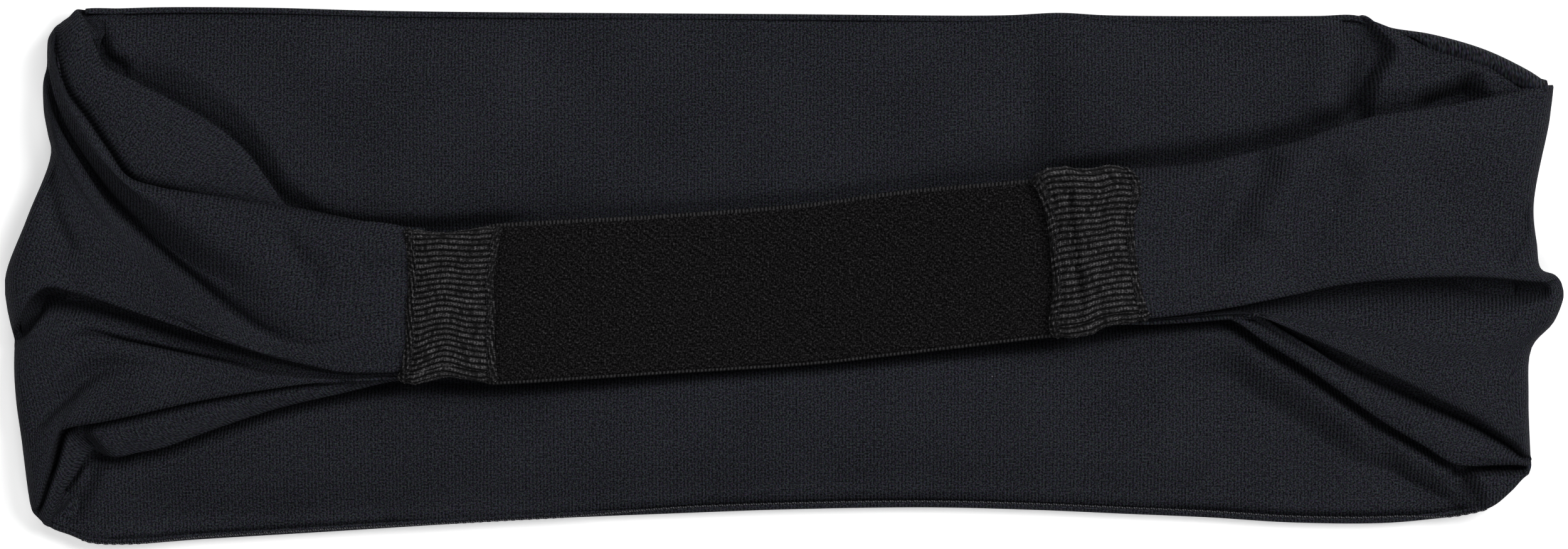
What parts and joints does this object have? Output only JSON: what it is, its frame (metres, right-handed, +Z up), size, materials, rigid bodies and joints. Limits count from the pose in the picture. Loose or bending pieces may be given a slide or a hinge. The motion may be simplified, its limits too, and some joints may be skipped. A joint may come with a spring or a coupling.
{
  "type": "sports headband",
  "caption": "Wide stretch-knit sports headband: a doubled knit band, folded over and gathered at both ends into ribbed covers that join it to a nape elastic.",
  "frame": {"origin": "centre of the footprint at the surface it lies on", "axes": "+Z up, +X along the flattened loop to the wearer's side, +Y to the crown edge"},
  "size_m": [0.2488, 0.0854, 0.0116],
  "materials": {
    "knit": "fine matt stretch knit with narrow wales, very dark navy grey",
    "elastic": "black plush-faced woven elastic with a smooth selvedge",
    "rib_tape": "coarse ribbed knit tape, charcoal",
    "thread": "dark polyester sewing thread, slight sheen"
  },
  "bodies": {
    "front_left": {"front_outer_layer": "knit", "front_inner_layer": "knit", "long_seam_thread": "thread", "left_wing_outer_layer": "knit", "left_wing_inner_layer": "knit"},
    "front_right": {"right_wing_outer_layer": "knit", "right_wing_inner_layer": "knit"},
    "strap_left": {"nape_elastic": "elastic", "left_cover": "rib_tape", "left_gathered_end": "knit", "left_join_stitching": "thread", "left_cover_wing_side_needle_thread": "thread", "left_cover_wing_side_bobbin_thread": "thread", "left_cover_elastic_side_needle_thread": "thread", "left_cover_elastic_side_bobbin_thread": "thread"},
    "strap_right": {"right_cover": "rib_tape", "right_join_stitching": "thread", "right_cover_wing_side_needle_thread": "thread", "right_cover_wing_side_bobbin_thread": "thread", "right_cover_elastic_side_needle_thread": "thread", "right_cover_elastic_side_bobbin_thread": "thread"},
    "wing_right_tip": {"right_gathered_end": "knit"}
  },
  "joints": [
    {"name": "band_stretch", "type": "slide", "parent": "front_left", "child": "front_right", "axis": [1, 0, 0], "range_m": [0, 0.045], "stiffness_N_per_m": 120, "deforming": ["front_outer_layer", "front_inner_layer", "long_seam_thread"]},
    {"name": "loop_open", "type": "slide", "parent": "front_left", "child": "strap_left", "axis": [0, 0, 1], "range_m": [0, 0.05], "stiffness_N_per_m": 15, "deforming": ["left_wing_outer_layer", "left_wing_inner_layer"]},
    {"name": "elastic_stretch", "type": "slide", "parent": "strap_left", "child": "strap_right", "axis": [1, 0, 0], "range_m": [0, 0.045], "deforming": ["nape_elastic"]},
    {"name": "right_tip_lift", "type": "slide", "parent": "front_right", "child": "wing_right_tip", "axis": [0, 0, 1], "range_m": [0, 0.05], "deforming": ["right_wing_outer_layer", "right_wing_inner_layer"]}
  ],
  "couplings": [
    {"joint": "elastic_stretch", "follows": "band_stretch", "ratio": 1},
    {"joint": "right_tip_lift", "follows": "loop_open", "ratio": 1}
  ]
}
